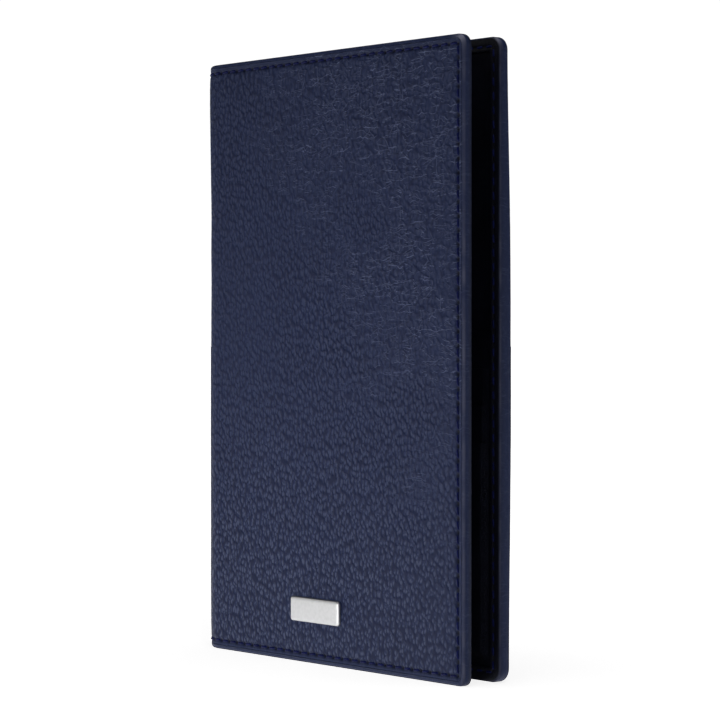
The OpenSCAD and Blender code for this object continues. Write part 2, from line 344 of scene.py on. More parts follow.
def stitch_rows():
    """Needle holes of the sewn edge as (s, z) points: low row, free side and top row."""
    far, top = LAST_S - STITCH_IN, HEIGHT - STITCH_IN
    corners = np.array([(0.0, STITCH_IN), (far, STITCH_IN), (far, top), (0.0, top)])
    rows = []
    for first, last in ((0, 1), (1, 2), (3, 2)):
        run = corners[last] - corners[first]
        count = round(np.hypot(*run) / STITCH_PITCH)
        rows.append(corners[first] + run * np.arange(count + 1)[:, None] / count)
    return rows


def hole_depth(half, s, z):
    """1 in the middle of a needle hole, and 0 away from it."""
    near = np.abs(half.edge_distance(s, z) - STITCH_IN) < HOLE_REACH
    out = np.zeros(np.shape(s))
    best = np.full(near.sum(), np.inf)
    for spot_s, spot_z in np.concatenate(stitch_rows()):
        best = np.minimum(best, np.hypot(s[near] - spot_s, z[near] - spot_z))
    out[near] = hump(best, 0, HOLE_R)
    return out


def broad_grain(s, z, side):
    """Where the grain is broad and creased (1) and where it is a fine pebble (0)."""
    across = s * side
    wander = 0.22 * noise(across / 17 + 20, z / 15 + 20, 11) + 0.12 * noise(across / 6, z / 6 + 9, 12)
    toward = (s - ARC_LEN) / (LAST_S - ARC_LEN) * 0.75 + (z / HEIGHT) * 0.95
    return smooth(0.85, 1.35, toward + wander)


def face_rise(half, s, z):
    """Relief of the outer face above the bulged cover, in millimetres."""
    edge = half.edge_distance(s, z)
    channel = -0.16 * hump(edge, STITCH_IN, CHANNEL_W)
    plump = 0.16 * (1 - np.exp(-np.clip(edge - STITCH_IN, 0, None) / 1.3))
    broad = broad_grain(s, z, half.side)
    cell = cells(s * half.side / 2.7 + 50, z / 2.5 + 9, 31)
    relief = 0.055 * (smooth(0.0, 0.35, cell) - 0.6) * (0.45 + 0.55 * broad)
    inner = smooth(2.5, 3.4, edge)
    if half is FRONT:
        plump = plump - 0.10 * np.exp(-plate_distance(s, z) / 0.7)
    return channel + plump + relief * inner - 0.34 * hole_depth(half, s, z)


def plate_distance(s, z):
    """Distance from the badge plate's outline, 0 under the plate."""
    x = s - ARC_LEN + SPINE_X
    centre, reach = (PLATE_LOW + PLATE_HIGH) / 2, (PLATE_HIGH - PLATE_LOW) / 2
    dx = np.maximum(np.abs(x - centre[0]) - reach[0], 0)
    dz = np.maximum(np.abs(z - centre[2]) - reach[2], 0)
    return np.hypot(dx, dz)


def rim_profile(total):
    """Inset, depth pairs of the turned edge: over the side, round to the lip and back under it.
    Depths over the side are from the outer face, and those that follow from the inner one."""
    over = [(0.74, 0.01), (0.50, 0.06), (0.30, 0.16), (0.14, 0.32), (0.04, 0.54), (0.00, 0.80)]
    under = [(0.00, -0.62), (0.04, -0.38), (0.13, -0.19), (0.28, -0.06), (0.50, 0.00), (1.10, 0.02)]
    seam = [(1.60, 0.01), (1.90, -0.04), (2.06, -0.12), (2.20, -0.17), (2.34, -0.12), (2.50, -0.04)]
    end = [(2.70, 0.00), (3.02, 0.01), (3.14, -0.03), (LIP_W, -0.12), (LIP_W, -0.36), (2.90, -0.40)]
    outer = [(inset, depth + 0 * total) for inset, depth in over]
    middle = (0.00, (total * 0.5).clip(0.95))
    return outer + [middle] + [(inset, total + rise) for inset, rise in under + seam + end]


def turned_ring(s, z, inset):
    """The outline's points moved to another inset, keeping the free corners round."""
    r = max(CORNER_R - inset, 0.4)
    centre = inset + r
    scale = r / (CORNER_R - RIM_INSET)
    out_s, out_z = s.copy(), z.copy()
    lower, upper, side = z < CORNER_R, z > HEIGHT - CORNER_R, s > LAST_S - CORNER_R
    out_z[lower & ~side] = inset
    out_z[upper & ~side] = HEIGHT - inset
    out_s[side & ~lower & ~upper] = LAST_S - inset
    low_corner = (lower & side, CORNER_R, centre)
    high_corner = (upper & side, HEIGHT - CORNER_R, HEIGHT - centre)
    for mask, old_z, new_z in (low_corner, high_corner):
        out_s[mask] = LAST_S - centre + (s[mask] - (LAST_S - CORNER_R)) * scale
        out_z[mask] = new_z + (z[mask] - old_z) * scale
    return out_s, out_z


def face_layers(half, s, z):
    """Point values of the outer face for the leather's material."""
    edge = half.edge_distance(s, z)
    by_side = 0.25 * smooth(LAST_S - 24, LAST_S - 6, s + 5 * noise(s / 9 + 3, z / 11, 44))
    by_spine = 1 - smooth(28, 62, s + 6 * noise(s / 15 + 9, z / 15, 46))
    calm = np.maximum(by_side, 0.45 * hump(z, 84, 30) * by_spine)
    # painted shade: the stitch channel and the needle holes are darkened
    seam = 0.25 * hump(edge, STITCH_IN, CHANNEL_W) + 1.1 * hole_depth(half, s, z)
    return {
        "broad": broad_grain(s, z, half.side),
        "cavity": seam.clip(0, 1),
        "ink": np.zeros(s.shape),
        "pressed": np.maximum(1 - smooth(1.7, 3.0, edge), calm),
        "worn": np.zeros(s.shape),
        # painted highlight on the pebble tops, stronger towards the bottom
        "bold": smooth(62, 22, z + 9 * noise(s / 16, z / 16, 45)),
    }


def ring_layers(half, s, z, inset, depth):
    """Point values of one ring of the turned edge, whose outline points are s and z."""
    total = half.depth_at(s)
    now_s, now_z = turned_ring(s, z, inset)
    inside = depth > 0.7 * total
    over = inset < 1
    from_rim = depth if half is FRONT else total - depth
    # painted shade: the rim's side darkens towards the inside, more on the front cover
    side_shade_strength = 0.68 if half is FRONT else 0.30
    side_shade = side_shade_strength * smooth(0.35, 0.85, depth / total)
    # painted highlight along the rounded free side, patchy, and a painted glint at the top corner
    patchy = 0.55 + 0.45 * noise(s / 3 + 5, z / 3.5, 43)
    on_side = smooth(LAST_S - 1.8, LAST_S - 1.0, now_s) * hump(from_rim, 0.20, 0.20) * over
    from_corner = np.hypot(now_s - (LAST_S - 1.4), now_z - (HEIGHT - 0.9))
    corner = np.exp(-from_corner / 0.9) * (from_rim < 0.7) * over
    return {
        "broad": np.full(len(s), 0.15),
        "cavity": np.maximum(0.6 * hump(inset, STITCH_IN, 0.4) * inside, side_shade),
        # painted shade: the lip inside, which lies in the gap between the covers, turns near black
        "ink": smooth(0.15, 0.45, inset) * inside,
        "pressed": np.ones(len(s)),
        "worn": np.clip(0.45 * on_side * patchy + 1.5 * corner, 0, 1),
        "bold": np.full(len(s), 0.3),
    }


def turned_edge(half, s, z):
    """Rings of points, texture places and point values that turn the outline s, z inwards."""
    base_s, base_z = turned_ring(s, z, RIM_INSET)
    out_s, out_z = turned_ring(s, z, 0.0)
    away_s, away_z = (out_s - base_s) / RIM_INSET, (out_z - base_z) / RIM_INSET
    length, old_inset, old_depth = 0.0, RIM_INSET, 0.0
    for inset, depth in rim_profile(half.depth_at(s)):
        length = length + np.hypot(inset - old_inset, depth - old_depth)
        old_inset, old_depth = inset, depth
        now_s, now_z = turned_ring(s, z, inset)
        ripple = 0.012 * noise(s / 2.1, z / 2.1 + inset, 41) * (inset < 1)
        grain = np.stack([(s + away_s * length) * half.side, z + away_z * length], -1)
        layers = ring_layers(half, s, z, inset, depth)
        yield half.place(now_s, now_z, depth + ripple), grain, layers


def outer_leather(half, material):
    """The leather of one cover and half the spine: face, rolled edge and the lip inside."""
    s, z = round_corners(half, *np.meshgrid(*leather_lines(), indexing="ij"))
    face = half.place(s, z, -face_rise(half, s, z))
    parts = [(face, np.stack([s * half.side, z], -1), face_layers(half, s, z))]
    at = np.arange(s.size).reshape(s.shape)
    ring = np.concatenate([at[:-1, 0], at[-1, :-1], at[::-1, -1]])
    parts += turned_edge(half, s.reshape(-1)[ring], z.reshape(-1)[ring])
    flip = half.side < 0
    faces = [grid_quads(*s.shape, flip)]
    before = ring
    for number in range(len(parts) - 1):
        now = s.size + number * len(ring) + np.arange(len(ring))
        faces.append(ring_quads(before, now, flip))
        before = now
    points = np.concatenate([place.reshape(-1, 3) for place, _, _ in parts])
    uv = np.concatenate([grain.reshape(-1, 2) for _, grain, _ in parts])
    layers = [
        (key, np.concatenate([values[key].reshape(-1) for _, _, values in parts]))
        for key in LAYERS
    ]
    piece = add_piece(f"{half.name}_leather", points, faces, uv, material, layers=layers)
    half.blend(piece)
    return piece


# ---------- thread


def tube_stitches(half, starts, ends, base, way, seed):
    """Twisted threads between needle holes. base is the depth they lie on, and way is -1 on the
    outer face and 1 on the inner side. Returns points, faces and texture places."""
    around, along, plies, turns = 10, 13, 3, 5.5
    seen_share, dip, up = 0.70, 0.60, 0.02
    u = np.linspace(0, 1, along)[None, :, None]
    turn = (np.arange(around) / around * 2 * pi)[None, None, :]
    starts, ends = np.asarray(starts, float), np.asarray(ends, float)
    run = ends - starts
    pitch = np.linalg.norm(run, axis=1, keepdims=True)
    run = run / pitch
    across = np.stack([-run[:, 1], run[:, 0]], -1)
    middle = (starts + ends) / 2
    rng = np.random.default_rng(seed)
    each = (len(starts), 1, 1)
    tilt = 0.09 + 0.03 * rng.uniform(-1, 1, each)
    lift = 0.03 * rng.uniform(-1, 1, each)
    twist = plies * (turn - turns * u) + rng.uniform(0, 6, each)
    ends_down = np.abs(2 * u - 1) ** 5
    radius = THREAD_R * (1 + 0.12 * np.cos(twist)) * (1 - 0.3 * ends_down)
    height = up + lift - dip * ends_down + radius * np.sin(turn) * 0.85
    lateral = tilt * (2 * u - 1) + radius * np.cos(turn)
    length = (u - 0.5) * (pitch * seen_share)[:, :, None]
    middle, run, across = (pairs.T[:, :, None, None] for pairs in (middle, run, across))
    s, z = middle + run * length + across * lateral
    depth = np.asarray(base, float).reshape(-1, 1, 1) + way * height
    points = half.place(s, z, depth).reshape(-1, 3)
    at = np.arange(s.size).reshape(s.shape)
    beside = np.roll(at, -1, axis=2)
    quads = np.stack([at[:, :-1], beside[:, :-1], beside[:, 1:], at[:, 1:]], -1).reshape(-1, 4)
    caps = np.concatenate([at[:, 0, ::-1], at[:, -1]])
    if way * half.side > 0:
        quads, caps = quads[:, ::-1], caps[:, ::-1]
    grain_u = np.broadcast_to(u * 3.0 + middle[0], s.shape)
    grain_v = np.broadcast_to(turn / (2 * pi) + middle[1], s.shape)
    return points, [quads, caps], np.stack([grain_u, grain_v], -1).reshape(-1, 2)


def joined(parts):
    """Several sets of points, faces and texture places as one set."""
    points, faces, uv, first = [], [], [], 0
    for part_points, part_faces, part_uv in parts:
        points.append(part_points)
        uv.append(part_uv)
        faces += [f + first for f in part_faces]
        first += len(part_points)
    return np.concatenate(points), faces, np.concatenate(uv)


def edge_thread(half, material):
    """Stitches of the sewn edge, on the outer face and on the lip inside."""
    parts = []
    for number, holes in enumerate(stitch_rows()):
        starts, ends = holes[:-1], holes[1:]
        lip = half.depth_at((starts[:, 0] + ends[:, 0]) / 2) - 0.08
        for way, base in ((-1, 0 * lip), (1, lip)):
            parts.append(tube_stitches(half, starts, ends, base, way, 50 + number))
    piece = add_piece(f"{half.name}_thread", *joined(parts), material)
    half.blend(piece)
    return piece


def slot_thread(material):
    """Row that closes the card slots at the spine side."""
    starts, ends, base = [], [], []
    row_in, first_in, last_in = 0.8, 0.3, 0.5
    s = POCKET_S + row_in
    for mouth, low, depth in zip(MOUTHS, [*MOUTHS[1:], STACK_FOOT], LEVELS):
        count = max(1, round((mouth - low - 0.6) / STITCH_PITCH))
        holes = np.linspace(low + first_in, mouth - last_in, count + 1)
        starts += [(s, z) for z in holes[:-1]]
        ends += [(s, z) for z in holes[1:]]
        base += [depth - 0.10] * count
    piece = add_piece("slot_thread", *tube_stitches(BACK, starts, ends, base, 1, 77), material)
    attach(piece, BACK.body)
    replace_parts(piece, "slot_side_stitches")


# ---------- thin inner sheets


def depth_range(half, node):
    """A CAD node's least and greatest depth below its cover's outer face."""
    low, high = node_box(node)
    if half.side < 0:
        return low[1] - FRONT_LOW[1], high[1] - FRONT_LOW[1]
    return BACK_HIGH[1] - high[1], BACK_HIGH[1] - low[1]


def s_range(node):
    """A CAD node's least and greatest s, where it lies flat on a cover."""
    low, high = node_box(node)
    return low[0] - SPINE_X + ARC_LEN, high[0] - SPINE_X + ARC_LEN


def spine_level(node):
    """Depth of the inner face of a layer that lines the spine."""
    low, _ = node_box(node)
    return SPINE_R - (SPINE_X - low[0]) + SPINE_LAYER


def soft_lines(first, last, step, roll):
    """Lines from first to last, close together where an edge rolls over."""
    near = roll * np.array([0.0, 0.08, 0.3, 0.62, 1.0, 1.8])
    inner = even_lines(first + 4.0 * roll, last - 4.0 * roll, step)
    return np.concatenate([first + near, inner, last - near[::-1]])


def thin_sheet(half, name, s_lines, z_lines, skins, material, seam=False):
    """A closed thin sheet between two faces, with rolled edges. skins gives the depth of the
    inner face, which is the seen one, and of the outer face. A seam leaves the edge at the
    middle of the spine square."""
    s, z = np.meshgrid(s_lines, z_lines, indexing="ij")
    top, under = (skin(s, z) for skin in skins)
    roll = 0.5 * (top - under)
    from_s = s_lines[-1] - s if seam else np.minimum(s - s_lines[0], s_lines[-1] - s)
    away = np.minimum(from_s, np.minimum(z - z_lines[0], z_lines[-1] - z))
    rest = np.clip(1 - away / roll, 0, 1)
    drop = 0.98 * roll * (1 - np.sqrt(1 - rest * rest))
    points = [half.place(s, z, d).reshape(-1, 3) for d in (top - drop, under + drop)]
    ring = border(*s.shape)
    flip = half.side < 0
    faces = [
        grid_quads(*s.shape, not flip),
        grid_quads(*s.shape, flip) + s.size,
        ring_quads(ring, ring + s.size, not flip, closed=True),
    ]
    flat = np.stack([s * half.side, z], -1).reshape(-1, 2)
    uv = np.concatenate([flat, flat])
    piece = add_piece(name, np.concatenate(points), faces, uv, material)
    return piece


def level(value):
    """A face that lies at one depth all over."""
    return lambda s, z: value + 0 * s


def behind(inner, thick):
    """The outer face of a sheet whose inner face is given."""
    return lambda s, z: inner(s, z) - thick


def lining(half, material):
    """Lining of one cover and half the spine, loosely creased where it folds."""
    low, high = depth_range(half, f"{half.name}_lining")
    thick = high - low
    at_spine = spine_level("spine_lining")

    def inner(s, z):
        full = smooth(ARC_LEN - 3, ARC_LEN + 0.3, s)
        base = at_spine + (high - at_spine) * full
        folds = noise(s * half.side / 1.7 + 30, z / 16 + 4, 61) * 0.10
        folds = folds + noise(s * half.side / 4 + 30, z / 7 + 4, 62) * 0.05
        loose = 1 - smooth(ARC_LEN - 1.5, ARC_LEN + 2, s)
        ends = smooth(2.5, 6, np.minimum(z, HEIGHT - z))
        return base + np.clip(folds, -0.08, 0.2) * loose * ends

    bent = even_lines(0.45, ARC_LEN + 2, 0.35)
    straight = even_lines(ARC_LEN + 4, SHEET_LAST - 1, 4.0)
    side = SHEET_LAST - np.array([0.2, 0.08, 0.0])
    s_lines = np.concatenate([SEAM_LINES, bent, straight, side])
    z_lines = soft_lines(*SHEET_Z, 0.9, thick / 2)
    name = f"{half.name}_lining_cloth"
    skins = inner, behind(inner, thick)
    piece = thin_sheet(half, name, s_lines, z_lines, skins, material, seam=True)
    half.blend(piece)
    return piece


def spine_strip(half, material):
    """Half of the bonded strip between the spine's leather and its lining."""
    low, high = node_box("spine_reinforcement")
    inner = spine_level("spine_reinforcement")
    bent = even_lines(0.45, ARC_LEN - 0.2, 0.5)
    s_lines = np.concatenate([SEAM_LINES, bent, [ARC_LEN - 0.1, ARC_LEN]])
    z_lines = soft_lines(low[2], high[2], 2.5, 0.17)
    name = f"{half.name}_spine_strip"
    skins = level(inner - 0.02), level(inner - 0.36)
    piece = thin_sheet(half, name, s_lines, z_lines, skins, material, seam=True)
    half.blend(piece)
    return piece


def riding_sheet(half, name, node, spans, skins, material, below, step=1.0):
    """A thin sheet that moves with its cover and stands for one CAD node."""
    roll = 0.17
    s_lines, z_lines = (soft_lines(*span, step, roll) for span in spans)
    piece = thin_sheet(half, name, s_lines, z_lines, skins, material)
    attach(piece, half.body)
    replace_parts(piece, node)
    flat = tuple((last - first) * MM for first, last in spans)


def mouth_line(distance):
    """Pressed line a little inside a folded mouth, and the soft fold itself."""
    return -0.07 * hump(distance, 1.15, 0.16) + 0.05 * smooth(1.2, 0.3, distance)


def front_panel(material):
    """Full-height pocket panel inside the front cover, open towards the spine."""
    node = "front_pocket_panel"
    low, high = depth_range(FRONT, node)

    def inner(s, z):
        from_mouth = s - POCKET_S
        gape = 0.22 * smooth(14, 0, from_mouth) * smooth(6, 40, z) * smooth(6, 40, HEIGHT - z)
        from_edge = np.minimum(LAST_S - s, np.minimum(z, HEIGHT - z))
        waves = 0.06 * noise(s / 18 + 9, z / 22 + 5, 71) * smooth(3, 8, from_edge)
        return high + mouth_line(from_mouth) + gape + waves

    skins = inner, behind(inner, high - low)
    spans, below = (PANEL_S, SHEET_Z), "front_lining_cloth"
    riding_sheet(FRONT, "front_pocket_leather", node, spans, skins, material, below)


def back_panel(material):
    """Full-height panel behind the card slots, hemmed at its top and bare side."""
    node = "back_pocket_panel"
    low, high = depth_range(BACK, node)
    hem_z = HEIGHT - HEM_W
    base = high - SLOT_LEVEL

    def inner(s, z):
        top_hem = smooth(hem_z - 0.25, hem_z + 0.25, z)
        by_slots = smooth(MOUTHS[0] + 0.2, MOUTHS[0] + 0.7, z)
        side_hem = smooth(STACK_S - 0.25, STACK_S + 0.25, s) * by_slots
        loose = smooth(3, 9, np.minimum(STACK_S - s + 3, np.minimum(z, hem_z - z)))
        wave = 0.08 * noise(s / 15 + 3, z / 19 + 2, 72) * np.clip(loose, 0, 1)
        press = -0.05 * hump(s, STACK_S + 1.0, 0.15) * side_hem - 0.05 * hump(z, hem_z + 1.0, 0.15)
        return base + SLOT_LEVEL * np.maximum(top_hem, side_hem) + wave + press

    skins = inner, level(low)
    spans, below = (PANEL_S, SHEET_Z), "back_lining_cloth"
    riding_sheet(BACK, "back_pocket_leather", node, spans, skins, material, below)


def slot_leather(number, node, material):
    """One card slot's leather: raised band, rounded riser at its side and the margin beside it."""
    mouth = MOUTHS[number]
    last_one = number == len(MOUTHS) - 1
    low_z = SHEET_IN if last_one else mouth - SLOT_STEP - SLOT_OVERLAP
    margin = BASE_DEPTH + SLOT_LEVEL
    top = LEVELS[number]

    def inner(s, z):
        raised = 1 - smooth(STACK_S - 0.35, STACK_S + 0.3, s)
        if last_one:
            raised = raised * smooth(STACK_FOOT - 0.5, STACK_FOOT + 0.5, z)
            tucked = 0.0
        else:
            band = mouth - SLOT_STEP
            tucked = 0.36 * smooth(band + 0.1, band - 0.9, z)
        middle = smooth(4, 20, s - POCKET_S) * smooth(4, 20, STACK_S - s)
        gape = 0.16 * smooth(7, 0, mouth - z) * middle
        cards = 0.07 * noise(s / 12 + number, z / 5 + 7 * number, 81)
        soft = mouth_line(mouth - z) + (gape + cards) * raised
        return margin + (top - margin) * raised - tucked + soft

    name, skins = f"{node}_leather", (inner, behind(inner, SLOT_THICK))
    spans, below = (PANEL_S, (low_z, mouth)), "back_pocket_leather"
    riding_sheet(BACK, name, node, spans, skins, material, below, step=0.8)


def slot_tongue(node, material):
    """Lining cloth of one card slot, hidden under the slot leather."""
    _, high = depth_range(BACK, node)
    box_low, box_high = node_box(node)
    name, skins = f"{node}_cloth", (level(high - 0.38), level(high - 0.5))
    spans, below = (s_range(node), (box_low[2], box_high[2])), "back_pocket_leather"
    riding_sheet(BACK, name, node, spans, skins, material, below, step=3.0)


def padding(half, material):
    """Thin foam under the outer leather, softly rounded at its edges."""
    node = f"{half.name}_padding"
    low, high = depth_range(half, node)
    first, last = s_range(node)
    roll = (high - low) / 2
    s_lines = soft_lines(first, last - 0.1, 2.5, roll)
    z_lines = soft_lines(*SHEET_Z, 2.5, roll)
    skins = level(high), level(low + 0.02)
    piece = thin_sheet(half, f"{half.name}_foam", s_lines, z_lines, skins, material)
    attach(piece, half.body)
    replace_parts(piece, node)


# ---------- badge plate


def rounded_rectangle(width, height, radius, steps=8):
    """Points round a rectangle with rounded corners, anticlockwise."""
    turn = np.arange(steps + 1) / steps * pi / 2
    points = []
    for number, (sx, sz) in enumerate(((1, 1), (-1, 1), (-1, -1), (1, -1))):
        angle = turn + number * pi / 2
        centre = np.array([sx * (width / 2 - radius), sz * (height / 2 - radius)])
        points.append(centre + radius * np.stack([np.cos(angle), np.sin(angle)], -1))
    return np.concatenate(points)


def skin_over(rings, flip):
    """Points, faces and texture places of a skin over rings of points, closed at its last ring."""
    count = len(rings[0])
    at = np.arange(len(rings) * count).reshape(len(rings), count)
    faces = [ring_quads(first, second, flip, closed=True) for first, second in zip(at, at[1:])]
    faces.append((at[-1][::-1] if flip else at[-1])[None])
    points = np.concatenate(rings)
    return points * MM, faces, points[:, [0, 2]]


def plate_rings(centre, face):
    """Rings of the badge plate from its back to the middle of its slightly crowned front."""
    width, _, height = PLATE_HIGH - PLATE_LOW
    thick = FRONT_LOW[1] - PLATE_LOW[1]
    corner_r, least_r = 0.75, 0.12
    back = [(0.25, -0.15), (0.0, 0.05)]
    bevel = [(0.0, -0.42), (0.04, -0.27), (0.13, -0.13), (0.27, -0.05), (0.42, 0.0)]
    crown = [(0.9, 0.004), (1.5, 0.008), (2.0, 0.012)]
    profile = back + [(inset, thick + rise) for inset, rise in bevel + crown]
    rings = []
    for inset, rise in profile:
        radius = max(corner_r - inset, least_r)
        ring = rounded_rectangle(width - 2 * inset, height - 2 * inset, radius)
        level_y = np.full(len(ring), face - rise)
        rings.append(np.stack([centre[0] + ring[:, 0], level_y, centre[2] + ring[:, 1]], -1))
    return rings


def prong_rings(x, z, face):
    """Rings of one prong, from inside the leather to its rounded tip in the washer."""
    sides, radius, tip = 16, 0.4, WASHER_HIGH[1]
    turn = np.arange(sides) / sides * 2 * pi
    rings = []
    for y, r in ((face + 0.1, radius), (tip - 0.12, radius), (tip - 0.02, 0.7 * radius)):
        ring = [x + r * np.cos(turn), np.full(sides, y), z + r * np.sin(turn)]
        rings.append(np.stack(ring, -1))
    return rings


def badge_plate(material):
    """Plain polished plate with a soft bevel and two prongs behind it."""
    centre = (PLATE_LOW + PLATE_HIGH) / 2
    bulge = FRONT.bulge(np.array(ARC_LEN + centre[0] - SPINE_X), np.array(centre[2]))
    face = FRONT_LOW[1] - bulge - PLATE_OFF
    points, faces, uv = skin_over(plate_rings(centre, face), False)
    faces.append(np.arange(len(faces[0]))[::-1][None])
    parts = [(points, faces, uv)]
    between_prongs = WASHER_HIGH[0] - WASHER_LOW[0] - WASHER_D
    for side in (-1, 1):
        x = centre[0] + side * between_prongs / 2
        parts.append(skin_over(prong_rings(x, centre[2], face), True))
    piece = add_piece("badge_plain_plate", *joined(parts), material)
    piece.data.set_sharp_from_angle(angle=radians(50))
    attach(piece, FRONT.body)
    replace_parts(piece, "badge_plate")


# ---------- materials

NAVY = (0.0235, 0.0385, 0.1180)
# tone of the painted highlights on the pebble tops and creases
NAVY_HIGHLIGHT = (0.125, 0.150, 0.265)
NAVY_DARK = (0.0070, 0.0125, 0.0520)
# tone of the painted highlight on the rounded edge
HIGHLIGHT_TONE = (0.34, 0.35, 0.48)
INK = (0.0055, 0.0068, 0.0155)
INK_DARK = (0.0032, 0.0040, 0.0098)
CLOTH = (0.010, 0.012, 0.024)
CLOTH_DARK = (0.005, 0.006, 0.013)
THREAD = (0.0085, 0.0155, 0.1200)
THREAD_DARK = (0.0055, 0.0100, 0.0800)
NICKEL = (0.47, 0.47, 0.475)


class Shader:
    """Short way to write a material's nodes."""

    def __init__(self, name):
        self.material = bpy.data.materials.new(name)
        self.material.use_nodes = True
        self.tree = self.material.node_tree
        self.tree.nodes.clear()
        self.output = self.add("OutputMaterial")
        self.surface = self.add("BsdfPrincipled")
        self.tree.links.new(self.surface.outputs[0], self.output.inputs[0])

    def add(self, kind, inputs=None, **settings):
        made = self.tree.nodes.new("ShaderNode" + kind)
        for key, value in settings.items():
            setattr(made, key, value)
        for key, value in (inputs or {}).items():
            self.set(made.inputs[key], value)
        return made

    def set(self, socket, value):
        """A socket linked to another node's output, or set to a value."""
        if isinstance(value, bpy.types.NodeSocket):
            self.tree.links.new(value, socket)
        else:
            socket.default_value = value

    def maths(self, operation, a, b=0.0, c=0.0):
        return self.add("Math", {0: a, 1: b, 2: c}, operation=operation).outputs[0]

    def times(self, a, b, plus=None):
        """a times b, and a third value added if there is one."""
        if plus is None:
            return self.maths("MULTIPLY", a, b)
        return self.maths("MULTIPLY_ADD", a, b, plus)

    def ramp(self, value, low, high):
        """0 at low, 1 at high, and a smooth step between them."""
        inputs = {"Value": value, "From Min": low, "From Max": high}
        return self.add("MapRange", inputs, interpolation_type="SMOOTHSTEP").outputs[0]

    def mix(self, share, a, b):
        return self.add("Mix", {0: share, "A": a, "B": b}, data_type="FLOAT").outputs[0]

    def mix_colour(self, share, a, b):
        made = self.add("Mix", {0: share}, data_type="RGBA")
        colour_inputs = [i for i in made.inputs if i.type == "RGBA"]
        for socket, value in zip(colour_inputs, (a, b)):
            is_tone = isinstance(value, tuple)
            self.set(socket, (*value, 1.0) if is_tone else value)
        return next(o for o in made.outputs if o.type == "RGBA")

    def mapped(self, coords, scale, turn=0.0, shift=(0.0, 0.0)):
        """Texture coordinates scaled, turned by some degrees and shifted."""
        inputs = {"Vector": coords, "Rotation": (0, 0, radians(turn)), "Scale": (*scale, 1.0)}
        inputs["Location"] = (*shift, 0.0)
        return self.add("Mapping", inputs).outputs[0]

    def grain_coords(self, scale=(1.0, 1.0), turn=0.0):
        uv = self.add("UVMap", uv_map="grain").outputs[0]
        return self.mapped(uv, scale, turn)

    def solid_coords(self, scale):
        """Places in the solid itself, scaled."""
        place = self.add("TexCoord").outputs["Object"]
        return self.add("Mapping", {"Vector": place, "Scale": (scale,) * 3}).outputs[0]

    def noise(self, coords, scale, detail=2.0, rough=0.5, output="Fac", dimensions="2D"):
        inputs = {"Vector": coords, "Scale": scale, "Detail": detail, "Roughness": rough}
        return self.add("TexNoise", inputs, noise_dimensions=dimensions).outputs[output]

    def warped(self, coords, scale, amount):
        """Texture coordinates pushed about by noise."""
        push = self.noise(coords, scale, output="Color")
        middle = (0.5, 0.5, 0.5)
        centred = self.add("VectorMath", {0: push, 1: middle}, operation="SUBTRACT").outputs[0]
        grown = self.add("VectorMath", {0: centred, "Scale": amount}, operation="SCALE").outputs[0]
        return self.add("VectorMath", {0: coords, 1: grown}, operation="ADD").outputs[0]

    def voronoi(self, feature, coords, scale, random):
        inputs = {"Vector": coords, "Scale": scale, "Randomness": random}
        made = self.add("TexVoronoi", inputs, voronoi_dimensions="2D", feature=feature)
        return made.outputs["Distance"]

    def edges(self, coords, scale=1.0, random=1.0):
        """Distance to the edges between scattered cells."""
        return self.voronoi("DISTANCE_TO_EDGE", coords, scale, random)

    def pebbles(self, coords):
        """Soft round bumps, 1 at their tops."""
        return self.ramp(self.voronoi("F1", coords, 1.0, 0.9), 0.76, 0.14)

    def ribs(self, turn, scale, distortion):
        """Slanted lines of yarn."""
        inputs = {"Vector": self.grain_coords(turn=turn), "Scale": scale, "Detail": 1.0}
        inputs["Distortion"] = distortion
        return self.add("TexWave", inputs, bands_direction="X").outputs["Fac"]

    def layer(self, name):
        """One of the mesh's named point values."""
        return self.add("Attribute", attribute_name=name).outputs["Fac"]

    def bump(self, height, distance):
        """Normals of a relief whose full height is given in millimetres."""
        return self.add("Bump", {"Height": height, "Distance": distance * MM}).outputs[0]

    def finish(self, **inputs):
        for key, value in inputs.items():
            self.set(self.surface.inputs[key.replace("_", " ")], value)
        return self.material


def tinted(tone, share):
    """A tone made lighter or darker."""
    return tuple(share * c for c in tone)


def fine_pebbles(sh, uv):
    """Small slanted pebbles in loose groups."""
    bent = sh.warped(uv, 0.45, 0.9)
    net = sh.ramp(sh.edges(sh.mapped(bent, (0.40, 0.30), -18)), 0.0, 0.16)
    grouped = sh.times(net, 0.30, 0.70)
    return sh.times(sh.pebbles(sh.mapped(bent, (1.02, 0.62), -14)), grouped)


def broad_cells(sh, loose, wide_edge):
    """Broad loose grain: small soft pebbles within wide cells."""
    wide = sh.times(sh.ramp(wide_edge, 0.0, 0.25), 0.25)
    small = sh.pebbles(sh.mapped(loose, (0.90, 0.66), -8))
    return sh.times(small, 0.75, wide)


def light_creases(sh, uv, wide_edge, broad):
    """Thin light creases, in patches of the broad grain."""
    crease = sh.times(sh.ramp(wide_edge, 0.07, 0.01), 0.40)
    fine = sh.warped(sh.warped(uv, 0.24, 2.2), 0.9, 0.25)
    for turn, scale in ((6, (0.17, 0.50)), (-9, (0.24, 0.66))):
        shift = 0.45 * scale[0]
        ends = [sh.edges(sh.mapped(fine, scale, turn, (x, 0.0))) for x in (-shift, shift)]
        off_line = sh.maths("MAXIMUM", *ends)
        crease = sh.maths("MAXIMUM", crease, sh.ramp(off_line, 0.090, 0.02))
    patches = sh.ramp(sh.noise(uv, 0.30, 2.0, 0.6), 0.38, 0.58)
    return sh.times(crease, sh.times(patches, broad))


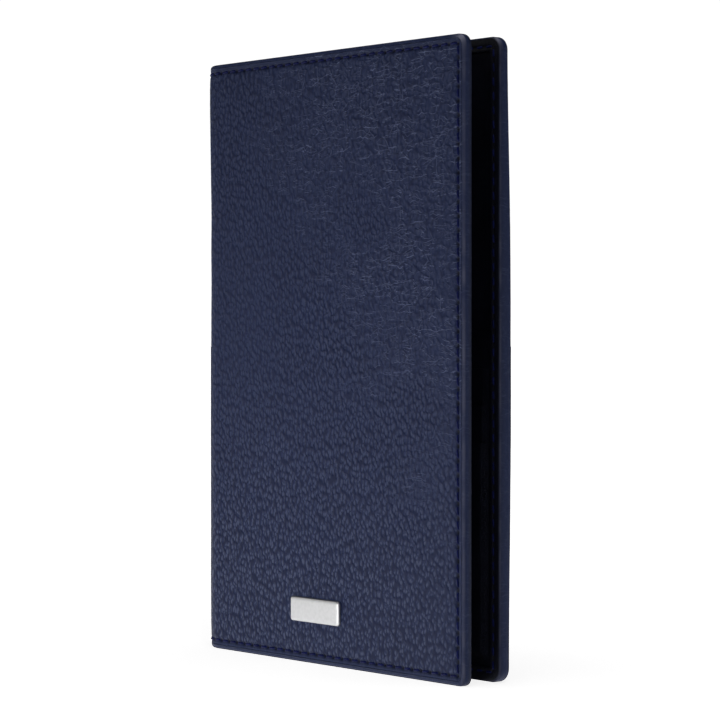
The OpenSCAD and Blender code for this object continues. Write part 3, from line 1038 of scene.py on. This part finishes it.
def pebbled_leather(name):
    """Pebble-grained calf leather: fine slanted pebbles, looser broad grain with light creases,
    pores, painted shade in the seams' hollows and on the lip inside, and painted highlights on the
    pebble tops, creases and rounded edge."""
    sh = Shader(name)
    uv = sh.grain_coords()
    loose = sh.warped(uv, 0.30, 1.8)
    wide_edge = sh.edges(sh.mapped(loose, (0.22, 0.44), 7))
    broad = sh.layer("broad")
    grain = sh.mix(broad, fine_pebbles(sh, uv), broad_cells(sh, loose, wide_edge))
    grain = sh.mix(sh.times(sh.layer("pressed"), 0.8), grain, 0.6)
    crease = light_creases(sh, uv, wide_edge, broad)
    pores = sh.noise(uv, 7.0, 3.0, 0.6)

    height = sh.times(pores, 0.08, grain)
    height = sh.times(sh.noise(uv, 0.5, 3.0), 0.35, height)
    height = sh.times(crease, 0.6, height)

    # darker in the hollows between the pebbles: partly the dye's own tone, partly painted shade
    dye_and_shade = sh.times(grain, 0.70)
    dye_and_shade = sh.times(sh.noise(uv, 0.09, 2.0), 0.30, dye_and_shade)
    colour = sh.mix_colour(sh.ramp(dye_and_shade, -0.15, 0.90), NAVY_DARK, NAVY)
    # painted highlight on the pebble tops
    highlight_strength = sh.times(sh.layer("bold"), 0.40, 0.22)
    tops = sh.times(sh.ramp(grain, 0.72, 1.0), highlight_strength)
    colour = sh.mix_colour(tops, colour, NAVY_HIGHLIGHT)
    # painted highlight along the creases
    colour = sh.mix_colour(sh.times(crease, 0.80), colour, tinted(NAVY_HIGHLIGHT, 1.9))
    # painted highlight on the rounded edge and its top corner
    colour = sh.mix_colour(sh.layer("worn"), colour, HIGHLIGHT_TONE)
    # painted shade darkens the seams, the needle holes and the rim's inner side
    cavity = sh.times(sh.layer("cavity"), 0.95)
    colour = sh.mix_colour(cavity, colour, tinted(NAVY_DARK, 0.12))
    # painted shade turns the lip inside near black
    colour = sh.mix_colour(sh.layer("ink"), colour, INK_DARK)

    roughness = sh.times(grain, -0.10, 0.58)
    roughness = sh.times(pores, 0.08, roughness)
    return sh.finish(
        Base_Color=colour,
        Roughness=roughness,
        Normal=sh.bump(height, 0.22),
        Specular_IOR_Level=0.20,
    )


def smooth_leather(name):
    """Fine-grained, slightly glossy inner leather."""
    sh = Shader(name)
    uv = sh.grain_coords()
    grain = sh.ramp(sh.edges(sh.warped(uv, 0.8, 0.5), 1.9, 0.9), 0.0, 0.22)
    height = sh.times(sh.noise(uv, 9.0, 3.0, 0.6), 0.25, grain)
    return sh.finish(
        Base_Color=sh.mix_colour(sh.ramp(sh.noise(uv, 0.12, 3.0), 0.3, 0.7), INK_DARK, INK),
        Roughness=sh.times(grain, -0.10, 0.58),
        Normal=sh.bump(height, 0.05),
        Specular_IOR_Level=0.10,
    )


def twill(name):
    """Fine twill lining: slanted ribs broken up by the crossing yarns."""
    sh = Shader(name)
    height = sh.times(sh.ribs(-40, 1.2, 0.6), 0.45, sh.ribs(32, 0.75, 0.4))
    shade = sh.times(height, 0.4)
    shade = sh.times(sh.noise(sh.grain_coords(), 0.3, 3.0), 0.5, shade)
    return sh.finish(
        Base_Color=sh.mix_colour(sh.ramp(shade, 0.2, 0.8), CLOTH_DARK, CLOTH),
        Roughness=0.72,
        Normal=sh.bump(height, 0.04),
        Sheen_Weight=0.25,
        Sheen_Roughness=0.45,
    )


def sewing_thread(name):
    """Bonded thread with the fine lines of its filaments."""
    sh = Shader(name)
    fibres = sh.noise(sh.grain_coords((1.0, 9.0), 25), 5.0)
    dye = sh.noise(sh.grain_coords(), 0.2, 1.0)
    shade = sh.times(dye, 0.5, sh.times(fibres, 0.5))
    return sh.finish(
        Base_Color=sh.mix_colour(sh.ramp(shade, 0.3, 0.7), THREAD_DARK, THREAD),
        Roughness=0.5,
        Normal=sh.bump(fibres, 0.02),
        Specular_IOR_Level=0.12,
    )


def polished_metal(name):
    """Polished plating with the faintest polishing marks and a few spots of wear."""
    sh = Shader(name)
    marks = sh.noise(sh.grain_coords((0.6, 14.0)), 3.0)
    spots = sh.noise(sh.grain_coords(), 1.1, 3.0)
    roughness = sh.times(sh.ramp(spots, 0.45, 0.75), 0.06, 0.28)
    return sh.finish(
        Base_Color=sh.mix_colour(sh.ramp(spots, 0.3, 0.8), NICKEL, tinted(NICKEL, 0.93)),
        Roughness=sh.times(marks, 0.04, roughness),
        Metallic=1.0,
        Normal=sh.bump(marks, 0.002),
    )


def solid_material(name, tone, dark_tone, rough, scale, depth, metallic=0.0):
    """A plain material for hidden parts, with speckle and grain in the solid itself."""
    sh = Shader(name)
    coords = sh.solid_coords(scale / MM)
    fine = sh.noise(coords, 1.0, 4.0, 0.65, dimensions="3D")
    wide = sh.noise(coords, 0.12, dimensions="3D")
    shade = sh.times(wide, 0.4, sh.times(fine, 0.6))
    return sh.finish(
        Base_Color=sh.mix_colour(sh.ramp(shade, 0.35, 0.65), dark_tone, tone),
        Roughness=sh.times(fine, 0.15, rough - 0.07),
        Metallic=metallic,
        Normal=sh.bump(fine, depth),
    )


def refinish(node, material):
    """Gives a CAD node that stays as it is a better material."""
    materials = bpy.data.objects[node].data.materials
    materials.clear()
    materials.append(material)


# ---------- stage, light and camera


def aimed(name, data, middle, azimuth, elevation, distance):
    """A camera or lamp that looks at the middle from an angle in degrees; lengths in metres."""
    a, e = radians(azimuth), radians(elevation)
    away = np.array([sin(a) * cos(e), -cos(a) * cos(e), sin(e)])
    made = bpy.data.objects.new(name, data)
    made.location = Vector(middle + away * distance)
    made.rotation_euler = Vector(away).to_track_quat("Z", "Y").to_euler()
    bpy.context.scene.collection.objects.link(made)
    return made


def add_camera():
    """The camera at the viewing angle of the picture."""
    data = bpy.data.cameras.new("camera")
    data.sensor_width = 36.0
    data.lens = 132.68
    data.clip_start = 0.01
    data.clip_end = 50.0
    middle = np.array([13.40, -6.7, 72.23]) * MM
    bpy.context.scene.camera = aimed("camera", data, middle, 50.95, 0.6474, 0.61545)


def soft_light(name, azimuth, elevation, distance, size, power):
    """A soft box aimed at the middle of the object, with its size in metres."""
    data = bpy.data.lights.new(name, "AREA")
    data.shape = "RECTANGLE"
    data.size, data.size_y = size
    data.energy = power
    light = aimed(name, data, np.array([0, 0, HEIGHT / 2 * MM]), azimuth, elevation, distance)
    light.visible_camera = False
    return light


def floor_white():
    """Pale floor, with a painted shadow where it lies between the two covers."""
    sh = Shader("floor_white")
    axes = sh.add("SeparateXYZ", {"Vector": sh.solid_coords(1 / MM)}).outputs
    across = sh.ramp(sh.maths("ABSOLUTE", axes["X"]), -SPINE_X, FRONT_HIGH[0])
    along = sh.ramp(sh.maths("ABSOLUTE", axes["Y"]), SPINE_R - 3, SPINE_R)
    # painted shadow: near black between the covers
    colour = sh.mix_colour(sh.maths("MAXIMUM", across, along), (0.02,) * 3, (0.85,) * 3)
    return sh.finish(Base_Color=colour, Roughness=0.9)


def add_stage():
    """A plain pale floor that only shows the object's shadow."""
    sides, radius = 96, 12.0
    turn = np.arange(sides) / sides * 2 * pi
    rim = np.stack([np.cos(turn), np.sin(turn), 0 * turn], -1) * radius
    floor = add_piece("floor", rim, [np.arange(sides)[None]], rim[:, :2], floor_white())
    floor.is_shadow_catcher = True
    floor.visible_diffuse = False
    return floor


def add_world():
    """White to the camera, and a dimmer even light on the object."""
    world = bpy.data.worlds.new("studio")
    world.use_nodes = True
    tree = world.node_tree
    tree.nodes.clear()
    kinds = ("LightPath", "MixShader", "OutputWorld")
    path, mix, out = (tree.nodes.new("ShaderNode" + kind) for kind in kinds)
    for number, strength in ((1, 0.03), (2, 1.05)):
        light = tree.nodes.new("ShaderNodeBackground")
        light.inputs["Color"].default_value = (1, 1, 1, 1)
        light.inputs["Strength"].default_value = strength
        tree.links.new(light.outputs[0], mix.inputs[number])
    tree.links.new(path.outputs["Is Camera Ray"], mix.inputs[0])
    tree.links.new(mix.outputs[0], out.inputs[0])
    bpy.context.scene.world = world


def add_lights(floor):
    """Soft boxes and a low card for the object, and an even wash that keeps the floor white."""
    soft_light("card", -5, -24, 0.17, (0.12, 0.03), 0.098)
    soft_light("front", -14, 16, 0.8, (0.35, 0.35), 0.10)
    soft_light("left", -56, 14, 1.0, (0.35, 0.6), 0.70)
    soft_light("top", 25, 82, 1.2, (1.0, 1.0), 3.2)
    soft_light("edge", 62, 28, 1.0, (0.25, 0.25), 1.0)
    soft_light("right", 120, 12, 1.2, (0.5, 0.5), 0.9)
    lit = bpy.data.collections.new("floor_only")
    bpy.context.scene.collection.children.link(lit)
    lit.objects.link(floor)
    wash = soft_light("floor_wash", 0, 89, 1.5, (2.0, 2.0), 60.0)
    wash.data.use_shadow = False
    wash.light_linking.receiver_collection = lit


add_camera()
add_lights(add_stage())
add_world()
bpy.context.scene.view_settings.view_transform = "Standard"
bpy.context.scene.view_settings.look = "None"

leather = pebbled_leather("navy_pebbled_leather")
inner_leather = smooth_leather("inner_smooth_leather")
lining_cloth = twill("twill_lining")
thread = sewing_thread("navy_thread")
nickel = polished_metal("polished_nickel")
foam = solid_material("foam", (0.42, 0.42, 0.44), (0.24, 0.24, 0.26), 0.9, 2.2, 0.05)
board = solid_material("grey_board", (0.40, 0.34, 0.26), (0.22, 0.18, 0.13), 0.88, 0.9, 0.03)
bonded = solid_material(
    "bonded_fibre_strip", (0.52, 0.47, 0.38), (0.30, 0.26, 0.20), 0.85, 1.6, 0.03
)
steel = solid_material(
    "washer_steel", (0.56, 0.56, 0.57), (0.46, 0.46, 0.47), 0.34, 1.2, 0.004, 1.0
)

front_leather = outer_leather(FRONT, leather)
back_leather = outer_leather(BACK, leather)
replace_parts(front_leather, "front_outer_leather", "spine_outer_leather")
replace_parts(back_leather, "back_outer_leather")
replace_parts(edge_thread(FRONT, thread), "front_stitches", "spine_stitches")
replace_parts(edge_thread(BACK, thread), "back_stitches")
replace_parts(lining(FRONT, lining_cloth), "front_lining", "spine_lining")
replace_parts(lining(BACK, lining_cloth), "back_lining")
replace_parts(spine_strip(FRONT, bonded), "spine_reinforcement")
spine_strip(BACK, bonded)
front_panel(inner_leather)
back_panel(inner_leather)
for number, node in enumerate(SLOT_NODES):
    slot_leather(number, node, inner_leather)
for place in ("top", "middle", "low"):
    slot_tongue(f"slot_tongue_{place}", lining_cloth)
slot_thread(thread)
padding(FRONT, foam)
padding(BACK, foam)
badge_plate(nickel)
refinish("front_board", board)
refinish("back_board", board)
refinish("badge_washers", steel)
